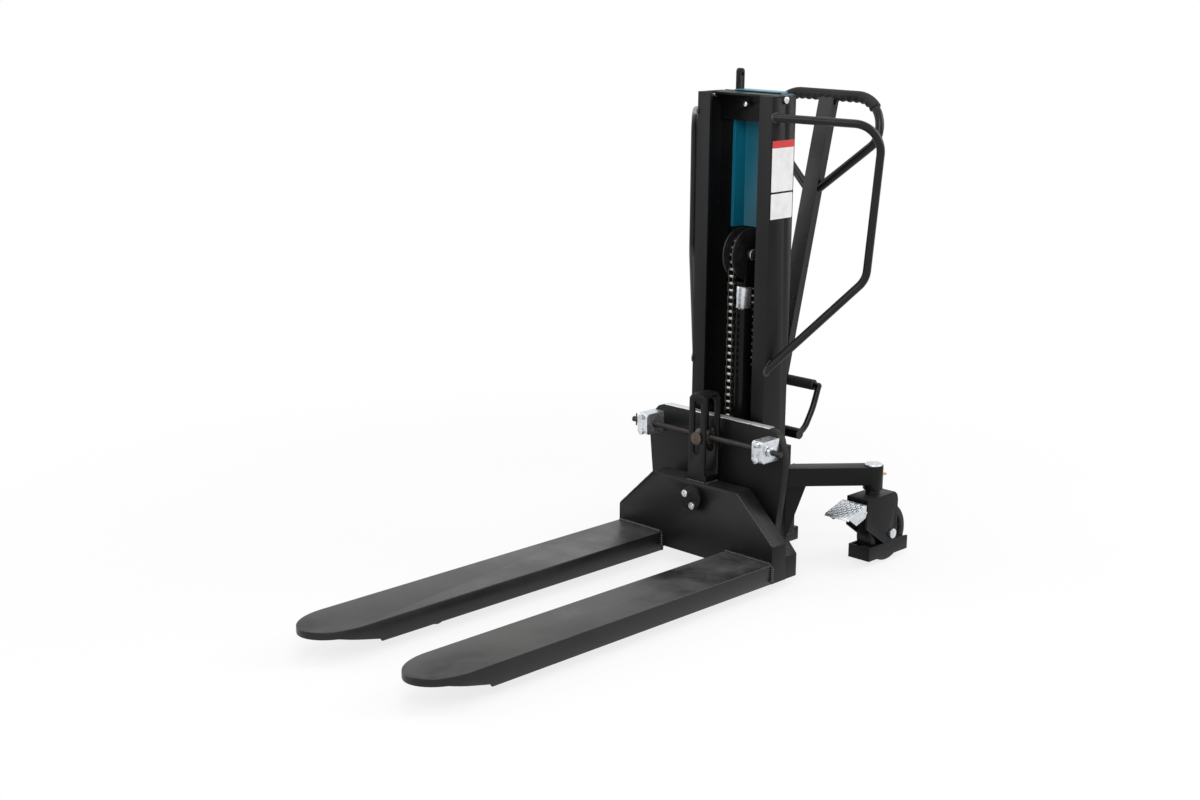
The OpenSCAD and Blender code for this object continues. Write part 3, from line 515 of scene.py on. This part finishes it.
def prism(outline, low, high):
    """A closed outline in (y, z) carried straight along x from low to high."""
    outline = np.asarray(outline, float)
    count = len(outline)
    points = np.concatenate([np.insert(outline, 0, x, 1) for x in (low, high)])
    faces = quads(2, count).tolist()
    return points, faces + [list(range(count))[::-1], list(range(count, 2 * count))]


def joined(parts):
    """Several (points, faces) made into one."""
    start, points, faces = 0, [], []
    for some, cells in parts:
        points.append(some)
        faces += [[start + k for k in cell] for cell in cells]
        start += len(some)
    return np.concatenate(points), faces


def piece(name, shape, material, body, smooth=50):
    """Puts (points, faces) into an object that rides on a body."""
    points, faces = shape
    mesh = bpy.data.meshes.new(name)
    mesh.from_pydata(np.asarray(points).tolist(), [], faces)
    shell = bmesh.new()
    shell.from_mesh(mesh)
    bmesh.ops.recalc_face_normals(shell, faces=shell.faces)
    shell.to_mesh(mesh)
    shell.free()
    mesh.materials.append(FINISH[material])
    obj = bpy.data.objects.new(name, mesh)
    scene.collection.objects.link(obj)
    mesh.shade_smooth()
    mesh.set_sharp_from_angle(angle=math.radians(smooth))
    if body:
        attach(obj, body)
    print("piece", name, len(faces), "faces")
    return obj


# %% [markdown]
# ## Weld beads
# Two plates that meet are joined by a bead of melted wire. The torch moves in
# small steps, so the bead swells and narrows every few millimetres. A bead is a
# tube carried along the seam whose radius follows that rhythm and dies away at
# both ends.

# %% Weld beads
BEAD, LEVER_BEAD, FRAME_BEAD, SLOPE_BEAD = 0.0062, 0.0036, 0.0034, 0.0026
STEP = 0.0062
RUN_OUT = 0.004


def bead(points, size=BEAD, closed=False):
    """A bead along a polyline: radius = size * (0.72 + 0.36 |sin(pi s / step)|)."""
    corners = np.asarray(points, float)
    lengths = np.r_[0, np.cumsum(np.linalg.norm(np.diff(corners, axis=0), axis=1))]
    along = np.arange(0, lengths[-1], STEP / 8)
    path = np.stack([np.interp(along, lengths, corners[:, k]) for k in range(3)], 1)
    swell = 0.72 + 0.36 * np.abs(np.sin(np.pi * along / STEP))
    wander = 1 + 0.08 * np.sin(along * 173) * np.sin(along * 57)
    ends = 1.0 if closed else np.clip(np.minimum(along, along[-1] - along) / RUN_OUT, 0.15, 1)
    direction = corners[1] - corners[0]
    hint = (0, 0, 1) if abs(direction[2]) < 0.9 * np.linalg.norm(direction) else (0, 1, 0)
    return tube(path, (size * swell * wander * ends)[:, None], 8, hint)


def seam_round(centre, axis, wall, radius, size=LEVER_BEAD):
    """A closed seam where a round tube meets a flat wall.

    Each point of the tube's circle slides along the tube to the wall.
    """
    axis = np.asarray(axis, float) / np.linalg.norm(axis)
    wall = np.asarray(wall, float)
    spare = (0, 0, 1) if abs(axis[2]) < 0.9 else (0, 1, 0)
    u = np.cross(axis, spare)
    u /= np.linalg.norm(u)
    v = np.cross(axis, u)
    turn = np.linspace(0, 2 * np.pi, 49)[:, None]
    circle = radius * (np.cos(turn) * u + np.sin(turn) * v)
    slid = circle - axis * (circle @ wall / (axis @ wall))[:, None]
    return bead(np.asarray(centre) + slid, size, True)


def mirrored(points):
    """The same points on the other side of the middle plane."""
    return [(-x, y, z) for x, y, z in points]


heel_low, heel_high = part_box("heel_box")
fork_low, fork_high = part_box("fork_right")
lever_low, lever_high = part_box("slotted_lever")
deck, face = fork_high.z, heel_low.y
fork_seams = []
for seam in ([(fork_low.x, face, deck), (fork_high.x, face, deck)],
             [(fork_low.x, face, deck), (fork_low.x, face, deck - 0.04)],
             [(fork_high.x, face, deck - 0.002), (fork_high.x, face, deck - 0.05)]):
    fork_seams += [bead(seam), bead(mirrored(seam))]
fork_seams.append(bead([(lever_low.x, lever_low.y, lever_low.z),
                        (lever_high.x, lever_low.y, lever_low.z)], LEVER_BEAD))
for x in (lever_low.x, lever_high.x):
    fork_seams.append(bead([(x, lever_low.y, lever_low.z),
                            (x, heel_high.y, lever_low.z)], LEVER_BEAD))
SHOULDER, CREST_X, CREST_Z = 0.130, 0.148, 0.250
slope_seam = [(CREST_X, face + 0.001, CREST_Z - 0.001),
              (heel_high.x - 0.001, face + 0.001, SHOULDER)]
fork_seams += [bead(slope_seam, SLOPE_BEAD), bead(mirrored(slope_seam), SLOPE_BEAD)]
piece("fork_welds", joined(fork_seams), "weld_bead", "forks")

# %% Weld beads of the chassis
mast_low, mast_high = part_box("mast_right")
out_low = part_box("outrigger_right")[0]
base_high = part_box("base_frame")[1]
HANDLE_R, HANDLE_IN, DIAGONAL = 0.011, 0.015, 0.7071
HANDLE_ENDS = ((1.2171, -0.065), (0.5595, 0.962))
GUSSET_T, ARM_LOW, ARM_HIGH, ARM_TOP, MAST_SEAM = 0.008, 0.09, 0.27, 0.276, 0.2
WEB = np.array((1.0, 0.0, 0.0))
handle_y = mast_low.y + HANDLE_IN
chassis_seams = []
for height, slope in HANDLE_ENDS:
    axis = np.array((DIAGONAL, DIAGONAL, slope))
    chassis_seams.append(seam_round((mast_high.x, handle_y, height), axis, WEB, HANDLE_R))
    chassis_seams.append(seam_round((-mast_high.x, handle_y, height), axis * (-1, 1, 1),
                                    -WEB, HANDLE_R))
for seam in ([(mast_high.x, mast_low.y, base_high.z),
              (mast_high.x, mast_low.y, mast_low.z + MAST_SEAM)],
             [(mast_high.x + GUSSET_T, out_low.y, ARM_LOW),
              (mast_high.x + GUSSET_T, out_low.y, ARM_HIGH)],
             [(mast_high.x, out_low.y, ARM_TOP), (mast_high.x, mast_high.y, ARM_TOP)]):
    chassis_seams += [bead(seam, FRAME_BEAD), bead(mirrored(seam), FRAME_BEAD)]
piece("chassis_welds", joined(chassis_seams), "weld_bead", "chassis")

# %% [markdown]
# ## The lifting chain
# A roller chain carries the forks: pairs of plates joined by pins every three
# quarters of an inch, alternately inside and outside their neighbours, with a
# roller on each pin. It climbs from the carriage, turns over the sheave and goes
# down to its anchor. Each plate is a stadium-shaped prism, and every link is the
# same few dozen faces laid along the path.

# %% Chain links
PITCH = 0.01905
WRAP = 0.047
PLATE_HALF, PLATE_T = 0.0068, 0.0019
INNER, OUTER = 0.0062, 0.0083
ROLLER_R, PIN_R, PIN_HALF = 0.0056, 0.0028, 0.0118
front_low, front_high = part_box("chain_front")
rear_low, rear_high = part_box("chain_rear")
SHEAVE_Y = (front_low.y + rear_high.y) / 2
SHEAVE_Z = front_high.z
FRONT_LENGTH = front_high.z - front_low.z
WRAP_LENGTH = math.pi * WRAP


def chain_at(along):
    """(y, z) and heading of the chain's middle line at a distance from its foot."""
    over = (along - FRONT_LENGTH) / WRAP
    if along <= FRONT_LENGTH:
        return SHEAVE_Y - WRAP, front_low.z + along, math.pi / 2
    if over <= math.pi:
        return (SHEAVE_Y - WRAP * math.cos(over), SHEAVE_Z + WRAP * math.sin(over),
                math.pi / 2 - over)
    return SHEAVE_Y + WRAP, SHEAVE_Z - (along - FRONT_LENGTH - WRAP_LENGTH), -math.pi / 2


def stadium(length, half, steps=4):
    """Outline of a link plate: two half circles joined by straight sides."""
    turn = np.linspace(-np.pi / 2, np.pi / 2, steps + 1)
    cap = np.stack([length / 2 + half * np.cos(turn), half * np.sin(turn)], 1)
    return np.concatenate([cap, -cap])


def laid(outline, along, x0, x1):
    """A link outline turned to the chain's heading at a distance along it."""
    y, z, turn = chain_at(along)
    c, s = math.cos(turn), math.sin(turn)
    return prism(outline @ np.array(((c, s), (-s, c))) + (y, z), x0, x1)


def round_outline(radius, sides):
    """A circle as an outline."""
    turn = np.linspace(0, 2 * np.pi, sides, endpoint=False)
    return radius * np.stack([np.cos(turn), np.sin(turn)], 1)


def chain(start, stop):
    """Plates, and pins with rollers, of the links between two distances."""
    plates, pins = [], []
    for k in range(int(round(start / PITCH)), int(round(stop / PITCH))):
        middle = (k + 0.5) * PITCH
        x = INNER if k % 2 else OUTER
        for side in (-1, 1):
            edges = sorted((side * x, side * (x + PLATE_T)))
            plates.append(laid(stadium(PITCH, PLATE_HALF), middle, *edges))
        pins.append(laid(round_outline(PIN_R, 8), k * PITCH, -PIN_HALF, PIN_HALF))
        pins.append(laid(round_outline(ROLLER_R, 10), k * PITCH, -INNER, INNER))
    return joined(plates), joined(pins)


REAR_LENGTH = rear_high.z - rear_low.z
strands = (("front", 0, FRONT_LENGTH), ("wrap", FRONT_LENGTH, FRONT_LENGTH + WRAP_LENGTH),
           ("rear", FRONT_LENGTH + WRAP_LENGTH, FRONT_LENGTH + WRAP_LENGTH + REAR_LENGTH))
chain_pieces = {}
for name, start, stop in strands:
    plates, pins = chain(start, stop)
    body = "piston" if name == "wrap" else None
    chain_pieces[name] = [
        piece("chain_" + name + "_plates", plates, "chain_plate", body, 30),
        piece("chain_" + name + "_pins", pins, "chain_pin", body, 40)]
    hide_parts("chain_" + name)
for obj in chain_pieces["front"]:
    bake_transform(obj)
for obj in chain_pieces["rear"]:
    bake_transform(obj)

# %% [markdown]
# ## The lead screw
# Turning this screw rolls the forks. Its thread is a trapezoid wound round a
# bar, so the bar's radius depends on how far along and how far round a point is:
# radius = crest - depth * wave(x / pitch - angle / full turn).

# %% Threaded bar with collars and cross pins
screw_low, screw_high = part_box("lead_screw")
SCREW_Y = (screw_low.y + screw_high.y) / 2
SCREW_Z = (screw_low.z + screw_high.z) / 2
CREST, THREAD, LEAD = 0.008, 0.0011, 0.004
PLAIN_FROM, PLAIN_CUT = 0.240, 0.0004
COLLAR_X, COLLAR_R = (0.2226, 0.2236, 0.2314, 0.2324), (0.0118, 0.013, 0.013, 0.0118)
CROSS_X, CROSS_Z, CROSS_R = 0.252, (-0.017, -0.0162, 0.0162, 0.017), (0.0014, 0.002, 0.002, 0.0014)
THREAD_TURNS, ROWS_A_TURN = 131, 6
rows, around = THREAD_TURNS * ROWS_A_TURN, 20
x = np.linspace(screw_low.x, screw_high.x, rows)
angle = np.linspace(0, 2 * np.pi, around, endpoint=False)
phase = x[:, None] / LEAD - angle[None] / (2 * np.pi)
wave = np.clip(2.2 * np.abs(2 * (phase - np.floor(phase)) - 1) - 0.6, 0, 1)
plain = np.abs(x)[:, None] > PLAIN_FROM
radius = CREST - np.where(plain, PLAIN_CUT, THREAD * wave)
bar = tube(np.stack([x, 0 * x + SCREW_Y, 0 * x + SCREW_Z], 1), radius, around)
screw_parts, collars = [bar], []
for side in (-1, 1):
    collar = side * np.array(COLLAR_X)
    path = np.stack([collar, 0 * collar + SCREW_Y, 0 * collar + SCREW_Z], 1)
    collars.append(tube(path, np.array(COLLAR_R)[:, None], 32))
    z = np.array(CROSS_Z) + SCREW_Z
    path = np.stack([0 * z + side * CROSS_X, 0 * z + SCREW_Y, z], 1)
    screw_parts.append(tube(path, np.array(CROSS_R)[:, None], 12, (0, 1, 0)))
threaded = piece("threaded_screw", joined(screw_parts), "screw_oiled", "screw", 60)
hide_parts("lead_screw")
piece("screw_collars", joined(collars), "zinc_turned", "screw", 40)

# %% [markdown]
# ## The grips
# Soft rubber is pushed over the loop's top bar and round its corners, with a row
# of hollows for the fingers on the side that the fingers close on. The path runs
# along the bar and into the bend; the ring's radius dips once for each finger,
# and only on that side.

# %% Finger grips
PIVOT = np.array((0.0, 0.6144325, 0.347))
LEAN, GRIP_TURN = math.radians(13.65), math.radians(46)
ALONG = np.array((0.0, math.sin(LEAN), math.cos(LEAN)))
REACH, HALF, BEND = 0.929, 0.186, 0.088
FINGER, DIP, GRIP_R = 0.0235, 0.0032, 0.0163


def grip():
    """The loop's top from one bend to the other, with a dip for each finger.

    radius = full - dip * sin^2(pi s / finger) on the side that fingers close on
    """
    straight = np.linspace(0.0, HALF - BEND, 60)
    turn = np.linspace(0, GRIP_TURN, 45)[1:]
    across = np.r_[straight, HALF - BEND + BEND * np.sin(turn)]
    height = np.r_[0 * straight + REACH, REACH - BEND + BEND * np.cos(turn)]
    half = across[:, None] * (1, 0, 0) + height[:, None] * ALONG
    path = PIVOT + np.concatenate([(half * (-1, 1, 1))[:0:-1], half])
    run = np.r_[0, np.cumsum(np.linalg.norm(np.diff(path, axis=0), axis=1))]
    angle = np.linspace(0, 2 * np.pi, 28, endpoint=False)
    hollow = np.sin(np.pi * (run - run[-1] / 2) / FINGER)[:, None] ** 2
    inside = np.clip(-np.sin(angle), 0, 1)[None] ** 0.7
    ends = np.clip(np.minimum(run, run[-1] - run) / 0.003, 0, 1)[:, None] ** 0.5
    return tube(path, (GRIP_R - DIP * hollow * inside) * (0.86 + 0.14 * ends), 28, ALONG)


grips = piece("finger_grips", grip(), "grip_rubber", "tiller", 70)
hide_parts("grip_sleeves")

# %% [markdown]
# ## The ribbed pedal sleeve
# The foot rests on a rubber sleeve with deep rings. It is one surface of
# revolution whose radius rises and falls along the rod.

# %% Pedal sleeve
sleeve_low, sleeve_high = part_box("pedal_sleeve")
RIB, RIB_DEEP = 0.0053, 0.0032
x = np.linspace(sleeve_low.x, sleeve_high.x, 240)
crest = (sleeve_high.z - sleeve_low.z) / 2
ring = crest - RIB_DEEP * (0.5 + 0.5 * np.cos(2 * np.pi * (x - x[0]) / RIB)) ** 1.5
sleeve_path = np.stack([x, 0 * x + (sleeve_low.y + sleeve_high.y) / 2,
                        0 * x + (sleeve_low.z + sleeve_high.z) / 2], 1)
sleeve = piece("ribbed_sleeve", tube(sleeve_path, ring[:, None], 28), "grip_rubber",
               "tiller", 80)
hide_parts("pedal_sleeve")

# %% [markdown]
# ## Socket screws of the pivot
# Two cap screws hold the pivot's disc. A cap screw is turned, so it is a profile
# spun round its axis; the hexagon pressed into its head is made by letting the
# innermost rings follow a hexagon instead of a circle.

# %% Pivot screws
disc_low, disc_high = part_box("pivot_pin")
DISC_R, HEAD_R, HEX_R = 0.021, 0.0095, 0.0048
HEAD_TALL, CHAMFER, SUNK, SOCKET_FLOOR = 0.006, 0.0008, 0.001, 0.0015
SCREW_BEARINGS = (151, -70)


def cap_screw(x, z):
    """Rings of (radius, depth) from the rim to the bottom of the socket."""
    around = 36
    angle = np.linspace(0, 2 * np.pi, around, endpoint=False)
    hexagon = HEX_R * math.cos(math.pi / 6) / np.cos((angle % (np.pi / 3)) - np.pi / 6)
    rings = [(HEAD_R, SUNK), (HEAD_R, CHAMFER - HEAD_TALL), (HEAD_R - CHAMFER, -HEAD_TALL)]
    rows = [(r + 0 * angle, d) for r, d in rings]
    rows += [(hexagon, -HEAD_TALL), (hexagon, -SOCKET_FLOOR)]
    points = np.concatenate([np.stack([x + r * np.cos(angle), disc_low.y + d + 0 * angle,
                                       z + r * np.sin(angle)], 1) for r, d in rows])
    faces = quads(len(rows), around).tolist()
    floor_of_socket = list(range(len(points) - around, len(points)))
    return points, faces + [floor_of_socket, list(range(around))[::-1]]


pivot_z = (disc_low.z + disc_high.z) / 2
screws = []
for bearing in map(math.radians, SCREW_BEARINGS):
    screws.append(cap_screw(DISC_R * math.cos(bearing), pivot_z + DISC_R * math.sin(bearing)))
caps = piece("pivot_cap_screws", joined(screws), "zinc_turned", "carriage", 30)
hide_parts("pivot_screws")

# %% [markdown]
# ## The brake pedal's tread
# A boot must not slip off the pedal, so its plate is embossed with short bars
# that lean left and right in turn. Each bar is a low hipped roof of a few faces.

# %% Tread bars
BAR_ROWS, BAR_COLS, BAR_GAP, BAR_LEAN, BAR_INSET = 8, 9, 0.0088, 42, 0.005
FOOT_LONG, FOOT_WIDE, FOOT_SINK = 0.0044, 0.0017, 0.0004
ROOF_LONG, ROOF_WIDE, ROOF_TALL = 0.0030, 0.0006, 0.0019
BACK_IN, BACK_Z, FRONT_IN, FRONT_Z = 0.004, 0.186, 0.0752, 0.1635


def tread(side):
    """Rows of leaning bars over the pedal's sloping plate."""
    pedal = "brake_pedal_right" if side > 0 else "brake_pedal_left"
    low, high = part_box(pedal)
    middle = (low.x + high.x) / 2
    back_edge = np.array((middle, high.y - BACK_IN, BACK_Z))
    front_edge = np.array((middle, high.y - FRONT_IN, FRONT_Z))
    slope = front_edge - back_edge
    length = np.linalg.norm(slope)
    slope /= length
    normal = np.cross((1, 0, 0), slope)
    normal *= np.sign(normal[2])
    bars = []
    for row in range(BAR_ROWS):
        for col in range(BAR_COLS):
            lean = math.radians(BAR_LEAN if (row + col) % 2 else -BAR_LEAN)
            down = BAR_INSET + row * (length - 2 * BAR_INSET) / (BAR_ROWS - 1)
            across = (col - (BAR_COLS - 1) / 2) * BAR_GAP
            centre = back_edge + slope * down + np.array((1, 0, 0)) * across
            run = math.cos(lean) * np.array((1, 0, 0)) + math.sin(lean) * slope
            wide = np.cross(normal, run)
            foot = [centre + a * FOOT_LONG * run + b * FOOT_WIDE * wide - FOOT_SINK * normal
                    for a, b in ((-1, -1), (1, -1), (1, 1), (-1, 1))]
            roof = [centre + a * ROOF_LONG * run + b * ROOF_WIDE * wide + ROOF_TALL * normal
                    for a, b in ((-1, -1), (1, -1), (1, 1), (-1, 1))]
            bars.append((np.array(foot + roof), quads(2, 4).tolist() + [[4, 5, 6, 7]]
                         + [[3, 2, 1, 0]]))
    return joined(bars)


for side, body in ((1, "brake_right"), (-1, "brake_left")):
    piece("pedal_tread_" + body[6:], tread(side), "zinc_plate", body, 30)

# %% [markdown]
# ## The pump's spring
# A spring is a wire wound on a cylinder: x and y go round while z climbs.

# %% Plunger spring
spring_low, spring_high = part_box("plunger_spring")
TURNS, WIRE, COIL_R = 4.0, 0.002, 0.014
spring_y = (spring_low.y + spring_high.y) / 2
turn = np.linspace(0, TURNS * 2 * np.pi, 160)
coil = np.stack([COIL_R * np.cos(turn), spring_y + COIL_R * np.sin(turn),
                 np.linspace(spring_low.z + WIRE, spring_high.z - WIRE, len(turn))], 1)
spring = piece("plunger_coil", tube(coil, WIRE, 10), "zinc_turned", "plunger")
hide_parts("plunger_spring")

# %% [markdown]
# ## Blank labels
# Two rectangles of laminated film sit on the mast's side. They are left blank,
# the upper one with a plain red band, because this part carries no words.

# %% Label films
FILM_FRONT, FILM_BACK, FILM_SINK, CORNER = 0.437, 0.5245, 0.0002, 0.003


def film(z0, z1, lift):
    """A thin sheet with rounded corners on the mast's right side."""
    left, right = FILM_FRONT + CORNER, FILM_BACK - CORNER
    turn = np.linspace(0, np.pi / 2, 5)
    outline = []
    for k, (cy, cz) in enumerate(((right, z1 - CORNER), (left, z1 - CORNER),
                                  (left, z0 + CORNER), (right, z0 + CORNER))):
        outline.append(np.stack([cy + CORNER * np.cos(turn + k * np.pi / 2),
                                 cz + CORNER * np.sin(turn + k * np.pi / 2)], 1))
    return prism(np.concatenate(outline), mast_high.x - FILM_SINK, mast_high.x + lift)


for name, bottom, top, lift, coat in (("upper", 1.026, 1.158, 0.0004, "label_film"),
                                      ("band", 1.139, 1.158, 0.0006, "label_red"),
                                      ("lower", 0.955, 1.021, 0.0004, "label_film")):
    piece("label_" + name, film(bottom, top, lift), coat, "chassis", 30)

# %% [markdown]
# ## The studio
# The floor is a wide pale sheet. To the camera it is mostly plain white, mixed
# with what the lamps really give, so a soft shadow grounds the wheels.

# %% Floor and world
WHITE = rgb(1, 1, 1)


def seen(tree):
    """1 where the ray comes from the camera or from a mirror-like surface."""
    rays = [Link(tree).node("ShaderNodeLightPath", out=k) for k in (0, 3, 6)]
    return rays[0].maths("MAXIMUM", rays[0], rays[1].maths("MAXIMUM", rays[1], rays[2]))


paint = bpy.data.materials.new("studio_floor")
paint.use_nodes = True
tree = paint.node_tree
tree.nodes.clear()
matt = Link(tree).node("ShaderNodeBsdfDiffuse", {}, {"Color": rgb(0.86, 0.86, 0.86)})
glow = Link(tree).node("ShaderNodeEmission", {}, {"Color": WHITE, "Strength": 1.0})
spot = Link(tree).node("ShaderNodeTexCoord", out=3)
away = spot.node("ShaderNodeVectorMath", {"operation": "LENGTH"}, {0: spot}, 1)
plain_white = away.between(1.0, 2.6, 0.80, 1.0)
mixed = Link(tree).node("ShaderNodeMixShader", {},
                        {0: seen(tree) * plain_white, 1: matt, 2: glow})
output = tree.nodes.new("ShaderNodeOutputMaterial")
tree.links.new(mixed.socket, output.inputs[0])
floor_mesh = bpy.data.meshes.new("floor")
SPAN = 30.0
floor_mesh.from_pydata([(-SPAN, -SPAN, 0), (SPAN, -SPAN, 0), (SPAN, SPAN, 0), (-SPAN, SPAN, 0)],
                       [], [(0, 1, 2, 3)])
floor_mesh.materials.append(paint)
floor = bpy.data.objects.new("floor", floor_mesh)
floor.location.z = -0.0005
scene.collection.objects.link(floor)

world = bpy.data.worlds.new("studio")
scene.world = world
world.use_nodes = True
tree = world.node_tree
sky = tree.nodes["Background"]
sky.inputs["Color"].default_value = WHITE
tree.links.new((seen(tree) * 0.5 + 0.5).socket, sky.inputs["Strength"])
print("floor", 2 * SPAN, "m across, world", len(tree.nodes), "nodes")
